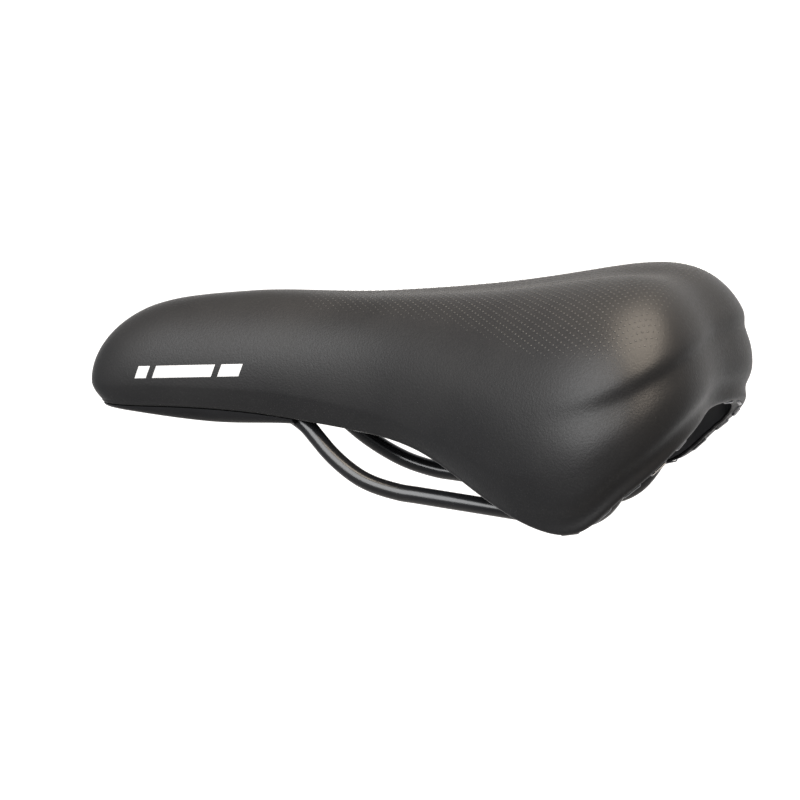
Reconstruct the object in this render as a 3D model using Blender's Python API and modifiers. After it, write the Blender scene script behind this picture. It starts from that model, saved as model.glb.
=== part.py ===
"""Bicycle saddle: moulded base shell on two wire rails, foam pad and a stapled synthetic leather cover.

Row frame: nose towards -Y, tail towards +Y, +Z up, +X to the rider's left.
The origin lies midway between the rails, at the middle of their straight clamp zone.
Design values are in millimetres and degrees; the model is built in metres.
"""
import math
from collections import namedtuple

import bmesh
import bpy
import numpy as np
from mathutils import Matrix, Vector

MM = 0.001

# ---- driving dimensions ------------------------------------------------------------------------
RAIL_DIAMETER = 7.0
RAIL_SPACING = 44.0
RAIL_TILT = 9.5
CLAMP_ZONE_LENGTH = 66.0

COVER_THICKNESS = 1.2
LAYER_GAP = 0.5
FOAM_GAP = 1.0
FOLD_RADIUS = 2.0
SHELL_WALL = 2.6
FLANGE_THICKNESS = 3.0
FLANGE_EDGE = 0.9
FOAM_CROWN = 21.0
CHANNEL_DEPTH = 3.0
CHANNEL_HALF_WIDTH = 15.0
CHANNEL_START = -95.0
CHANNEL_FADE = 50.0

# Exponents of the sections' curves: 2 is an ellipse, more is squarer.
CROWN_RISE_EXPONENT = 1.8
ARCH_SPAN_EXPONENT = 2.4
ARCH_RISE_EXPONENT = 1.8
TUCK_EXPONENT = 1.7

TRAY_WALL = 1.3
TRAY_GAP = 0.8
TRAY_END = 5.65
TRAY_RIM_INSET = 1.0
TRAY_CORNER = 4.2
TRAY_MOUTH_START = -103.0
TRAY_MOUTH_LENGTH = 15.0
TRAY_MOUTH_FLARE = 1.4

NOSE_BLOCK = {"x": (-13.0, 13.0), "y": (-132.0, -106.0), "z": (40.2, 57.0)}
NOSE_SCREWS = {"nose_screw_front": -126.0, "nose_screw_rear": -111.0}
SCREW_DIAMETER = 3.5
SCREW_HEAD_DIAMETER = 7.0
SCREW_LENGTH = 13.0
SCREW_HEAD_HEIGHT = 1.6
SCREW_RECESS = 0.5
SCREW_CLEARANCE = 0.35

SOCKET_MOUTH_RADIUS = 6.5
SOCKET_ROOT_RADIUS = 10.0
SOCKET_LENGTH = 40.0
SOCKET_GRIP = 17.0
BORE_CLEARANCE = 0.45
BORE_SPARE_LENGTH = 0.8
RIB_DEPTH = 6.0
RIB_WIDTH = 2.4
RIB_ROWS = (-58.0, -30.0, 0.0, 28.0, 52.0)
RIB_HALF_SPAN = 60.0
KEEL_RANGE = (-100.0, 84.0)
TRIM_BOTTOM = -40.0
TRIM_TOP = 90.0

STAPLES_PER_SIDE = 12
STAPLE_CROWN = 8.0
STAPLE_WIRE = 1.2
STAPLE_CROWN_THICKNESS = 0.6
STAPLE_LEG = 4.2
STAPLE_GAP = 0.8
STAPLE_RANGE = (6.8, 15.7)
STAPLE_HOLE_SPARE = 0.35

TOUCH_GAP = 0.3

STEPS_PER_STATION = 2
SHARP_ANGLE = 40.0
MERGE_DISTANCE = 0.00005

# Stations along the left outline, from the middle of the nose tip to the middle of the tail:
# the widest outline (x, y), the spine point it looks to, heights of the top, of the widest level and
# of the lower edge, how far the side tucks in below, the width of the turned-under hem, and how
# square the crown is.
Station = namedtuple("Station", "x y spine top wide edge tuck hem crown")
STATIONS = (
    Station(0.0, -176.2, -131.5, 85.0, 52.5, 44.1, 4.0, 5.0, 2.0),
    Station(10.0, -174.3, -129.6, 85.2, 52.5, 43.9, 3.5, 5.0, 2.0),
    Station(17.0, -165.4, -126.4, 85.8, 52.5, 43.6, 3.0, 5.0, 2.0),
    Station(20.5, -149.6, -120.4, 86.5, 52.5, 43.1, 2.5, 5.0, 2.1),
    Station(22.0, -127.0, -110.0, 87.0, 51.5, 42.1, 2.0, 5.0, 2.2),
    Station(24.0, -95.0, -91.0, 87.5, 49.5, 39.2, 2.0, 4.6, 2.3),
    Station(27.0, -68.0, -67.0, 87.5, 46.0, 35.3, 2.0, 4.4, 2.4),
    Station(33.0, -40.0, -41.0, 87.0, 41.0, 31.0, 2.5, 7.0, 2.5),
    Station(43.0, -14.0, -15.0, 86.5, 34.0, 24.2, 3.0, 9.0, 2.6),
    Station(56.0, 11.0, 9.0, 86.5, 26.0, 11.8, 3.0, 10.0, 2.7),
    Station(68.0, 36.0, 29.0, 87.5, 21.0, 0.8, 3.0, 10.0, 2.8),
    Station(75.0, 58.0, 41.0, 88.5, 24.0, -1.0, 3.0, 10.0, 2.9),
    Station(74.5, 75.0, 49.0, 89.2, 33.0, 9.6, 3.0, 10.0, 3.0),
    Station(68.0, 88.0, 55.0, 89.5, 42.0, 18.5, 3.0, 10.0, 3.0),
    Station(52.0, 97.0, 59.0, 89.5, 50.0, 26.5, 3.0, 10.0, 3.0),
    Station(28.0, 99.5, 61.5, 89.0, 54.0, 31.0, 3.0, 10.0, 3.0),
    Station(0.0, 98.0, 63.0, 88.5, 55.5, 32.5, 3.0, 10.0, 3.0),
)
TAIL = len(STATIONS) - 1
RING_STEPS = TAIL * STEPS_PER_STATION

# Side view of the tray under the nose: (y, z) along its underside.
TRAY_BELLY = (
    (-180.0, 42.4),
    (-170.0, 42.2),
    (-155.0, 40.8),
    (-140.0, 38.6),
    (-124.0, 36.2),
    (-108.0, 34.6),
    (-94.0, 34.6),
    (-80.0, 34.8),
    (-68.0, 33.4),
)

# Left rail, centre line, from its front end in the nose block to its rear end in the socket.
# The straight clamp zone is put between the two lists.
RAIL_FRONT = (
    (9.0, -127.0, 45.6),
    (9.6, -118.0, 45.2),
    (10.6, -108.0, 44.3),
    (11.8, -98.0, 43.0),
    (13.2, -88.0, 40.4),
    (14.7, -80.0, 36.8),
    (15.8, -74.0, 32.7),
    (17.1, -69.0, 27.4),
    (18.8, -63.5, 21.7),
    (20.4, -57.0, 16.3),
    (21.6, -50.0, 11.7),
    (22.0, -43.0, 8.5),
)
RAIL_REAR = (
    (22.0, 39.5, -6.2),
    (22.5, 46.5, -5.2),
    (23.6, 53.5, -1.4),
    (25.2, 60.0, 6.0),
    (27.2, 66.5, 17.0),
    (29.2, 72.5, 28.5),
    (31.2, 78.5, 40.0),
    (32.6, 82.7, 48.0),
)

# ---- materials: colour, roughness, metallic ------------------------------------------------------
MATERIALS = {
    "cover_leather": ((0.030, 0.030, 0.032), 0.55, 0.0),
    "foam": ((0.16, 0.15, 0.14), 0.95, 0.0),
    "shell_plastic": ((0.018, 0.018, 0.019), 0.42, 0.0),
    "rail_steel": ((0.012, 0.012, 0.013), 0.30, 0.6),
    "zinc_steel": ((0.55, 0.56, 0.58), 0.35, 1.0),
}


# ---- scene helpers -------------------------------------------------------------------------------
def clear_scene():
    for leftover in list(bpy.data.objects):
        bpy.data.objects.remove(leftover, do_unlink=True)


def new_collection(name):
    collection = bpy.data.collections.new(name)
    bpy.context.scene.collection.children.link(collection)
    return collection


def make_materials():
    made = {}
    for name, (colour, roughness, metallic) in MATERIALS.items():
        material = bpy.data.materials.new(name)
        material.use_nodes = True
        shader = material.node_tree.nodes["Principled BSDF"]
        shader.inputs["Base Color"].default_value = (*colour, 1.0)
        shader.inputs["Roughness"].default_value = roughness
        shader.inputs["Metallic"].default_value = metallic
        made[name] = material
    return made


def add_object(name, data, collection, material=None):
    thing = bpy.data.objects.new(name, data)
    collection.objects.link(thing)
    if material is not None:
        data.materials.append(material)
    return thing


def mesh_from_bmesh(name, shape, smooth=True):
    mesh = bpy.data.meshes.new(name)
    shape.to_mesh(mesh)
    shape.free()
    if smooth:
        mesh.shade_smooth()
        mesh.set_sharp_from_angle(angle=math.radians(SHARP_ANGLE))
    return mesh


def as_cutter(thing):
    thing.hide_render = True
    thing.display_type = "WIRE"
    return thing


def add_boolean(thing, tool, operation):
    modifier = thing.modifiers.new(operation.lower() + "_" + tool.name, "BOOLEAN")
    modifier.operation = operation
    modifier.object = tool
    modifier.solver = "EXACT"


# ---- stations: a cubic B-spline through each column of the table -----------------------------------
def mirrored(index, last, values, odd):
    """Value at an index past either end: x changes sign there, heights repeat, the spine runs on."""
    if 0 <= index <= last:
        return values[index]
    end = 0 if index < 0 else last
    twin = values[2 * end - index]
    if odd:
        return 2.0 * values[end] - twin
    return twin


def spline_controls(values, odd):
    """Control values of the uniform cubic B-spline that passes through the values."""
    count = len(values)
    matrix = np.zeros((count, count))
    for row in range(count):
        matrix[row, row] = 4.0
        for neighbour in (row - 1, row + 1):
            if 0 <= neighbour < count:
                matrix[row, neighbour] += 1.0
            elif odd:
                matrix[row, row] += 2.0
                matrix[row, 2 * row - neighbour] -= 1.0
            else:
                matrix[row, 2 * row - neighbour] += 1.0
    return np.linalg.solve(matrix / 6.0, np.array(values))


def spline_value(controls, place, odd):
    last = len(controls) - 1
    index = min(int(math.floor(place)), last - 1)
    u = place - index
    weights = (
        (1.0 - u) ** 3,
        3.0 * u ** 3 - 6.0 * u ** 2 + 4.0,
        -3.0 * u ** 3 + 3.0 * u ** 2 + 3.0 * u + 1.0,
        u ** 3,
    )
    total = 0.0
    for offset, weight in enumerate(weights):
        total += weight * mirrored(index - 1 + offset, last, controls, odd)
    return total / 6.0


ODD_COLUMNS = ("x", "spine")
COLUMN_CONTROLS = {
    name: spline_controls([getattr(row, name) for row in STATIONS], name in ODD_COLUMNS)
    for name in Station._fields
}


def station(place):
    values = {}
    for name, controls in COLUMN_CONTROLS.items():
        values[name] = spline_value(controls, place, name in ODD_COLUMNS)
    return Station(**values)


def reach(row):
    """Distance from the spine point to the widest outline, in plan."""
    return math.hypot(row.x, row.y - row.spine)


def ring_point(row, across, height):
    """Point at a distance from the spine towards the outline, at a height."""
    share = across / reach(row)
    return Vector((row.x * share, row.spine + (row.y - row.spine) * share, height))


# ---- profiles: lists of (distance from the spine, height) --------------------------------------------
def channel(row, across):
    """Depth of the shallow relief channel along the middle of the seat."""
    fade_in = min(max((row.spine - CHANNEL_START) / CHANNEL_FADE, 0.0), 1.0)
    return CHANNEL_DEPTH * fade_in * math.exp(-(across / CHANNEL_HALF_WIDTH) ** 2)


def crown_profile(row, inset, steps=8):
    points = []
    half = reach(row) - inset
    rise = row.top - inset - row.wide
    for step in range(steps + 1):
        angle = math.radians(90.0 * step / steps)
        across = half * math.sin(angle) ** (2.0 / row.crown)
        height = row.wide + rise * max(math.cos(angle), 0.0) ** (2.0 / CROWN_RISE_EXPONENT)
        points.append((across, height - channel(row, across)))
    return points


def side_profile(row, inset, bottom, steps=3):
    """From just below the widest level down to the given height, tucking in."""
    points = []
    depth = row.wide - row.edge - FOLD_RADIUS
    for step in range(1, steps + 1):
        drop = (row.wide - bottom) * step / steps
        tuck = row.tuck * min(drop / depth, 1.0) ** TUCK_EXPONENT
        points.append((reach(row) - inset - tuck, row.wide - drop))
    return points


def cover_profile(row):
    points = crown_profile(row, 0.0)
    points += side_profile(row, 0.0, row.edge + FOLD_RADIUS)
    turn = reach(row) - row.tuck - FOLD_RADIUS
    for angle in (45.0, 90.0):
        across = turn + FOLD_RADIUS * math.cos(math.radians(angle))
        points.append((across, row.edge + FOLD_RADIUS * (1.0 - math.sin(math.radians(angle)))))
    points.append((reach(row) - row.tuck - row.hem, row.edge))
    return points


def arch_profile(row, inset, foot, steps=6):
    """The shell's dome, from the spine down to its foot; inset 0 is its upper face."""
    points = []
    base = reach(row) - row.tuck - row.hem + SHELL_WALL - inset
    crown = row.top - FOAM_CROWN - inset
    for step in range(steps + 1):
        angle = math.radians(90.0 * step / steps)
        across = base * math.sin(angle) ** (2.0 / ARCH_SPAN_EXPONENT)
        height = foot + (crown - foot) * max(math.cos(angle), 0.0) ** (2.0 / ARCH_RISE_EXPONENT)
        points.append((across, height))
    return points


def flange_levels(row):
    """Heights of the flange's lower and upper faces, above the turned-under hem."""
    lower = row.edge + COVER_THICKNESS + LAYER_GAP
    return lower, lower + FLANGE_THICKNESS


def shell_profile(row):
    lower, upper = flange_levels(row)
    rim = reach(row) - row.tuck - COVER_THICKNESS - LAYER_GAP
    points = arch_profile(row, 0.0, upper)
    points.append((rim - FLANGE_EDGE, upper))
    points.append((rim, upper - FLANGE_EDGE))
    points.append((rim - FLANGE_EDGE, lower))
    points += reversed(arch_profile(row, SHELL_WALL, lower))
    return points


def foam_profile(row):
    upper = flange_levels(row)[1]
    inset = COVER_THICKNESS + FOAM_GAP
    bottom = upper + TOUCH_GAP
    points = crown_profile(row, inset)
    points += side_profile(row, inset, bottom)
    points += reversed(arch_profile(row, -TOUCH_GAP, bottom))
    return points


def core_profile(row):
    """Everything under the middle of the shell's wall: what ribs and sockets are trimmed to."""
    upper = flange_levels(row)[1]
    points = arch_profile(row, SHELL_WALL * 0.5, upper - 1.0)
    points.append((points[-1][0], TRIM_BOTTOM))
    points.append((0.0, TRIM_BOTTOM))
    return points


def rib_band_profile(row):
    """The band under the shell's wall that the ribs fill."""
    upper = flange_levels(row)[1]
    points = arch_profile(row, SHELL_WALL * 0.5, upper - 1.0)
    points += reversed(arch_profile(row, SHELL_WALL + RIB_DEPTH, upper - 1.5))
    return points


def belly(row, across):
    """Height of the tray's underside, read from its side view at the point's own y."""
    y = ring_point(row, across, 0.0).y
    return float(np.interp(y, *zip(*TRAY_BELLY)))


def tray_profile(row):
    """Down the tray's side, round its corner and along its floor, which ends in a mouth for the rails."""
    rim = reach(row) - row.tuck - TRAY_RIM_INSET
    top = row.edge - TRAY_GAP
    opened = min(max((row.y - TRAY_MOUTH_START) / TRAY_MOUTH_LENGTH, 0.0), 1.0)
    lip = rim - TRAY_CORNER + TRAY_MOUTH_FLARE * opened
    inner = (lip - 0.8) * math.sqrt(opened)
    points = [(rim, top)]
    for inward, share in ((0.3, 0.45), (1.4, 0.82)):
        points.append((rim - inward, top - share * (top - belly(row, rim - inward))))
    for across in (lip, (lip + inner) * 0.5, inner):
        points.append((across, belly(row, across)))
    return points


# ---- lofts -----------------------------------------------------------------------------------------
def half_sheet(name, profiles, collection, material=None):
    """Left half of a layer, lofted ring by ring, and mirrored across the middle plane."""
    shape = bmesh.new()
    columns = []
    for row, profile in profiles:
        columns.append([shape.verts.new(ring_point(row, a, z) * MM) for a, z in profile])
    for here, ahead in zip(columns, columns[1:]):
        for k in range(len(here) - 1):
            shape.faces.new((here[k], here[k + 1], ahead[k + 1], ahead[k]))
    thing = add_object(name, mesh_from_bmesh(name, shape), collection, material)
    mirror = thing.modifiers.new("other_side", "MIRROR")
    mirror.use_axis = (True, False, False)
    mirror.use_clip = True
    mirror.merge_threshold = MERGE_DISTANCE
    return thing


def ring_rows(end=TAIL):
    steps = round(end * STEPS_PER_STATION)
    return [station(end * step / steps) for step in range(steps + 1)]


def layer(name, profile, collection, material=None):
    return half_sheet(name, [(row, profile(row)) for row in ring_rows()], collection, material)


# ---- primitives --------------------------------------------------------------------------------------
def box_bmesh(low, high):
    shape = bmesh.new()
    bmesh.ops.create_cube(shape, size=1.0)
    size = [h - l for l, h in zip(low, high)]
    middle = [(h + l) / 2.0 for l, h in zip(low, high)]
    place = Matrix.Translation(Vector(middle) * MM) @ Matrix.Diagonal((*[s * MM for s in size], 1.0))
    bmesh.ops.transform(shape, matrix=place, verts=shape.verts)
    return shape


def joined(shapes, name):
    """One mesh that holds several separate closed shapes, for use as a cutter."""
    whole = bmesh.new()
    for shape in shapes:
        piece = bpy.data.meshes.new(name)
        shape.to_mesh(piece)
        shape.free()
        whole.from_mesh(piece)
        bpy.data.meshes.remove(piece)
    return mesh_from_bmesh(name, whole, smooth=False)


def cone_bmesh(start, end, start_radius, end_radius, sides=16):
    shape = bmesh.new()
    axis = end - start
    bmesh.ops.create_cone(
        shape,
        cap_ends=True,
        segments=sides,
        radius1=start_radius * MM,
        radius2=end_radius * MM,
        depth=axis.length * MM,
    )
    turn = Vector((0.0, 0.0, 1.0)).rotation_difference(axis).to_matrix().to_4x4()
    place = Matrix.Translation((start + end) * 0.5 * MM) @ turn
    bmesh.ops.transform(shape, matrix=place, verts=shape.verts)
    return shape


# ---- rails ---------------------------------------------------------------------------------------------
def rail_route(side):
    """Centre line of one rail; side is +1 for the left rail and -1 for the right one."""
    slope = math.tan(math.radians(RAIL_TILT))
    half = CLAMP_ZONE_LENGTH * 0.5
    inner = half - 7.0
    straight = [(RAIL_SPACING * 0.5, y, -slope * y) for y in (-half, -inner, inner, half)]
    return [Vector((x * side, y, z)) for x, y, z in (*RAIL_FRONT, *straight, *RAIL_REAR)]


def tube(name, points, radius, collection, material=None):
    """Round wire with twelve sides, one of them facing straight down."""
    curve = bpy.data.curves.new(name, "CURVE")
    curve.dimensions = "3D"
    curve.twist_mode = "Z_UP"
    curve.bevel_depth = radius * MM
    curve.bevel_resolution = 4
    curve.use_fill_caps = True
    spline = curve.splines.new("POLY")
    spline.points.add(len(points) - 1)
    for target, point in zip(spline.points, points):
        target.co = (*(point * MM), 1.0)
        target.tilt = math.radians(15.0)
    spline.use_smooth = True
    return add_object(name, curve, collection, material)


def as_mesh(thing, collection):
    """Turn a curve object into a mesh object with welded caps."""
    bpy.context.view_layer.update()
    graph = bpy.context.evaluated_depsgraph_get()
    mesh = bpy.data.meshes.new_from_object(thing.evaluated_get(graph))
    shape = bmesh.new()
    shape.from_mesh(mesh)
    bmesh.ops.remove_doubles(shape, verts=shape.verts, dist=0.00001)
    bmesh.ops.recalc_face_normals(shape, faces=shape.faces)
    shape.to_mesh(mesh)
    shape.free()
    name = thing.name
    place = thing.matrix_world.copy()
    bpy.data.objects.remove(thing, do_unlink=True)
    mesh.name = name
    result = bpy.data.objects.new(name, mesh)
    collection.objects.link(result)
    result.matrix_world = place
    return result


def extended(points, extra):
    """The same route, with both ends moved outwards."""
    longer = [point.copy() for point in points]
    longer[0] += (points[0] - points[1]).normalized() * extra
    longer[-1] += (points[-1] - points[-2]).normalized() * extra
    return longer


# ---- staples ---------------------------------------------------------------------------------------------
def staple_frame(place, side):
    """Origin under the hem, direction along it, and up through it."""
    row = station(place)
    ahead = station(min(place + 0.15, TAIL))
    behind = station(place - 0.15)

    def under(r):
        return ring_point(r, reach(r) - r.tuck - r.hem * 0.6, r.edge)

    origin = under(row)
    along = (under(ahead) - under(behind)).normalized()
    inward = ring_point(row, reach(row) - row.tuck - row.hem, row.edge) - origin
    up = along.cross(inward)
    if up.z < 0.0:
        up = -up
    up.normalize()
    inward = up.cross(along).normalized()
    basis = Matrix((along, inward, up)).transposed()
    frame = Matrix.Translation(origin * MM) @ basis.to_4x4()
    if side < 0:
        flip = Matrix.Diagonal((-1.0, 1.0, 1.0, 1.0))
        frame = flip @ frame @ Matrix.Diagonal((1.0, -1.0, 1.0, 1.0))
    return frame


def staple_mesh():
    """U of flat wire: a crown with a leg at each end, as an extruded outline."""
    half = STAPLE_CROWN * 0.5
    wire = STAPLE_CROWN_THICKNESS
    crown_top = -STAPLE_GAP
    crown_bottom = crown_top - wire
    tip = crown_top + STAPLE_LEG
    outline = (
        (-half, crown_bottom),
        (half, crown_bottom),
        (half, tip),
        (half - wire, tip),
        (half - wire, crown_top),
        (-half + wire, crown_top),
        (-half + wire, tip),
        (-half, tip),
    )
    shape = bmesh.new()
    depth = STAPLE_WIRE * 0.5
    face = shape.faces.new([shape.verts.new(Vector((x, -depth, z)) * MM) for x, z in outline])
    pushed = bmesh.ops.extrude_face_region(shape, geom=[face])
    moved = [item for item in pushed["geom"] if isinstance(item, bmesh.types.BMVert)]
    bmesh.ops.translate(shape, verts=moved, vec=(0.0, STAPLE_WIRE * MM, 0.0))
    bmesh.ops.recalc_face_normals(shape, faces=shape.faces)
    return mesh_from_bmesh("staple", shape, smooth=False)


def leg_holes(frames):
    """Cutters for the two legs of every staple."""
    spare = STAPLE_HOLE_SPARE
    leg_middle = (STAPLE_CROWN - STAPLE_CROWN_THICKNESS) * 0.5
    half_x = STAPLE_CROWN_THICKNESS * 0.5 + spare
    half_y = STAPLE_WIRE * 0.5 + spare
    bottom = -STAPLE_GAP - spare
    top = -STAPLE_GAP + STAPLE_LEG + spare
    shapes = []
    for frame in frames:
        for middle in (-leg_middle, leg_middle):
            shape = box_bmesh((middle - half_x, -half_y, bottom), (middle + half_x, half_y, top))
            bmesh.ops.transform(shape, matrix=frame, verts=shape.verts)
            bmesh.ops.recalc_face_normals(shape, faces=shape.faces)
            shapes.append(shape)
    return joined(shapes, "staple_leg_holes")


def staple_places():
    first, last = STAPLE_RANGE
    return [first + (last - first) * i / (STAPLES_PER_SIDE - 1) for i in range(STAPLES_PER_SIDE)]


# ---- the saddle ----------------------------------------------------------------------------------------------
def build():
    clear_scene()
    parts = new_collection("bicycle_saddle")
    cutters = new_collection("cutters")
    materials = make_materials()

    routes = {"rail_left": rail_route(1), "rail_right": rail_route(-1)}

    cover = layer("cover", cover_profile, parts, materials["cover_leather"])
    skin = cover.modifiers.new("skin", "SOLIDIFY")
    skin.thickness = COVER_THICKNESS * MM
    skin.offset = -1.0
    skin.use_even_offset = True

    layer("foam_pad", foam_profile, parts, materials["foam"])
    shell = layer("base_shell", shell_profile, parts, materials["shell_plastic"])
    core = as_cutter(layer("shell_core", core_profile, cutters))
    band = as_cutter(layer("rib_band", rib_band_profile, cutters))

    add_shell_details(shell, core, band, routes, cutters)
    add_rails(routes, shell, parts, cutters, materials["rail_steel"])
    add_tray(parts, cutters, shell, materials)
    add_staples(cover, shell, parts, cutters, materials["zinc_steel"])


def add_shell_details(shell, core, band, routes, cutters):
    """Ribs, nose block and rear sockets, trimmed to the inside of the shell and joined to it."""
    low, high = zip(NOSE_BLOCK["x"], NOSE_BLOCK["y"], NOSE_BLOCK["z"])
    block = add_object("nose_block", mesh_from_bmesh("nose_block", box_bmesh(low, high), False), cutters)
    add_boolean(as_cutter(block), core, "INTERSECT")
    add_boolean(shell, block, "UNION")

    for side_name, route in routes.items():
        end = route[-1]
        direction = (route[-1] - route[-3]).normalized()
        mouth = end - direction * SOCKET_GRIP
        root = mouth + direction * SOCKET_LENGTH
        shape = cone_bmesh(mouth, root, SOCKET_MOUTH_RADIUS, SOCKET_ROOT_RADIUS)
        name = side_name.replace("rail", "socket")
        socket = add_object(name, mesh_from_bmesh(name, shape), cutters)
        add_boolean(as_cutter(socket), core, "INTERSECT")
        add_boolean(shell, socket, "UNION")

    half = RIB_WIDTH * 0.5
    front, rear = KEEL_RANGE
    keel_shape = box_bmesh((-half, front, TRIM_BOTTOM), (half, rear, TRIM_TOP))
    keel = add_object("keel_rib", mesh_from_bmesh("keel_rib", keel_shape, False), cutters)
    slices = []
    for y in RIB_ROWS:
        low = (-RIB_HALF_SPAN, y - half, TRIM_BOTTOM)
        high = (RIB_HALF_SPAN, y + half, TRIM_TOP)
        slices.append(box_bmesh(low, high))
    cross = add_object("cross_ribs", joined(slices, "cross_ribs"), cutters)
    for rib in (keel, cross):
        add_boolean(as_cutter(rib), band, "INTERSECT")
        add_boolean(shell, rib, "UNION")


def add_rails(routes, shell, parts, cutters, steel):
    radius = RAIL_DIAMETER * 0.5
    for name, route in routes.items():
        tube(name, route, radius, parts, steel)
        bore = tube(name + "_bore", extended(route, BORE_SPARE_LENGTH), radius + BORE_CLEARANCE, cutters)
        add_boolean(shell, as_cutter(as_mesh(bore, cutters)), "DIFFERENCE")


def add_tray(parts, cutters, shell, materials):
    profiles = [(row, tray_profile(row)) for row in ring_rows(TRAY_END)]
    tray = half_sheet("nose_tray", profiles, parts, materials["shell_plastic"])
    wall = tray.modifiers.new("wall", "SOLIDIFY")
    wall.thickness = TRAY_WALL * MM
    wall.offset = -1.0
    wall.use_even_offset = True
    add_screws(tray, shell, profiles, parts, cutters, materials["zinc_steel"])


def tray_floor(profiles, y):
    """Height of the tray's lower face on the middle plane."""
    nearest = min(profiles, key=lambda item: abs(item[0].spine - y))
    return nearest[1][-1][1]


def add_screws(tray, shell, profiles, parts, cutters, steel):
    for name, y in NOSE_SCREWS.items():
        floor = tray_floor(profiles, y)
        seat = floor - SCREW_RECESS
        head_top = seat + SCREW_HEAD_HEIGHT
        tip = head_top + SCREW_LENGTH
        shank = SCREW_DIAMETER * 0.5
        head = SCREW_HEAD_DIAMETER * 0.5
        profile = (
            (0.0, tip),
            (shank - 0.6, tip),
            (shank, tip - 1.2),
            (shank, head_top + 0.8),
            (head, head_top - 0.4),
            (head, seat),
            (0.0, seat),
        )
        turned(name, profile, y, parts, steel)
        hole_profile = (
            (0.0, tip + 0.8),
            (shank + SCREW_CLEARANCE, tip + 0.8),
            (shank + SCREW_CLEARANCE, head_top + 1.0),
            (head + SCREW_CLEARANCE, head_top),
            (head + SCREW_CLEARANCE, floor - 3.0),
            (0.0, floor - 3.0),
        )
        hole = as_cutter(turned(name + "_hole", hole_profile, y, cutters))
        add_boolean(tray, hole, "DIFFERENCE")
        add_boolean(shell, hole, "DIFFERENCE")


def turned(name, profile, y, collection, material=None):
    """A profile of (radius, height) turned about the vertical axis at x = 0."""
    shape = bmesh.new()
    verts = [shape.verts.new(Vector((radius, 0.0, z)) * MM) for radius, z in profile]
    for first, second in zip(verts, verts[1:]):
        shape.edges.new((first, second))
    thing = add_object(name, mesh_from_bmesh(name, shape), collection, material)
    thing.location = (0.0, y * MM, 0.0)
    screw = thing.modifiers.new("turn", "SCREW")
    screw.steps = 16
    screw.render_steps = 16
    screw.use_merge_vertices = True
    screw.merge_threshold = MERGE_DISTANCE
    return thing


def add_staples(cover, shell, parts, cutters, steel):
    mesh = staple_mesh()
    mesh.materials.append(steel)
    frames = []
    for side, side_name in ((1, "left"), (-1, "right")):
        for number, place in enumerate(staple_places(), start=1):
            frame = staple_frame(place, side)
            staple = bpy.data.objects.new(f"hem_staple_{side_name}_{number:02d}", mesh)
            parts.objects.link(staple)
            staple.matrix_world = frame
            frames.append(frame)
    holes = as_cutter(add_object("staple_leg_holes", leg_holes(frames), cutters))
    add_boolean(cover, holes, "DIFFERENCE")
    add_boolean(shell, holes, "DIFFERENCE")


build()
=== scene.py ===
import math
from collections import namedtuple

import bmesh
import bpy
import numpy as np
from mathutils import Matrix, Vector
from mathutils.bvhtree import BVHTree
from mathutils.kdtree import KDTree


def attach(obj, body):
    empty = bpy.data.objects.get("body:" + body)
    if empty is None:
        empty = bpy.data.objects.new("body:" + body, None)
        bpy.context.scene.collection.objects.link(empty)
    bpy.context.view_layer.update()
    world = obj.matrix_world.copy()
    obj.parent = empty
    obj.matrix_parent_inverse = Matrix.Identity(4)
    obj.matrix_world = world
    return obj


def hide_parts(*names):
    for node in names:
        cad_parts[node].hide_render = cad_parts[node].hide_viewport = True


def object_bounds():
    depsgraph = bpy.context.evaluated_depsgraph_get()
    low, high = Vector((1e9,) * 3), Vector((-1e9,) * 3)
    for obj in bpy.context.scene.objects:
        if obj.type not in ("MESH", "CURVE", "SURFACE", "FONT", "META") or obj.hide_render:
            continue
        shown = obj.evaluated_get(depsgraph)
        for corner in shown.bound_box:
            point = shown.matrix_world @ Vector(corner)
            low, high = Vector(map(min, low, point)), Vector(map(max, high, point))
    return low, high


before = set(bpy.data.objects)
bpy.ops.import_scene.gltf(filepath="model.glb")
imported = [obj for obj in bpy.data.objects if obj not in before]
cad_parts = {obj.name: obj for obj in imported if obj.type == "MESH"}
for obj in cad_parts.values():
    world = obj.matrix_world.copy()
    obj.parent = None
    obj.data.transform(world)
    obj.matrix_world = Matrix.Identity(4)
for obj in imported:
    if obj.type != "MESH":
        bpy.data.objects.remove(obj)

CAD_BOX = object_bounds()
MM = 0.001

# ---- the design's dimensions, as in part.py ----------------------------------
RAIL_DIAMETER = 7.0
RAIL_SPACING = 44.0
RAIL_TILT = 9.5
CLAMP_ZONE_LENGTH = 66.0
COVER_THICKNESS = 1.2
SHELL_WALL = 2.6
FLANGE_THICKNESS = 3.0
FOAM_CROWN = 21.0
CHANNEL_DEPTH = 3.0
CHANNEL_HALF_WIDTH = 15.0
TRAY_WALL = 1.3
TRAY_END = 5.65

NOSE_BLOCK = {"x": (-13.0, 13.0), "y": (-132.0, -106.0), "z": (40.2, 57.0)}
NOSE_SCREWS = {"nose_screw_front": -126.0, "nose_screw_rear": -111.0}
SCREW_HEAD_DIAMETER = 7.0
SCREW_SHANK_RADIUS = 1.75
SCREW_DOME = 1.5
SOCKET_MOUTH_RADIUS = 6.5
SOCKET_ROOT_RADIUS = 10.0
SOCKET_LENGTH = 40.0
SOCKET_GRIP = 17.0
RIB_DEPTH = 6.0
RIB_WIDTH = 2.4
RIB_ROWS = (-58.0, -30.0, 0.0, 28.0, 52.0)
KEEL_RANGE = (-100.0, 84.0)
STAPLES_PER_SIDE = 12
STAPLE_CROWN = 8.0
STAPLE_WIRE = 1.2
STAPLE_THICKNESS = 0.6
STAPLE_LEG = 4.2
STAPLE_RANGE = (6.8, 15.7)

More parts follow.
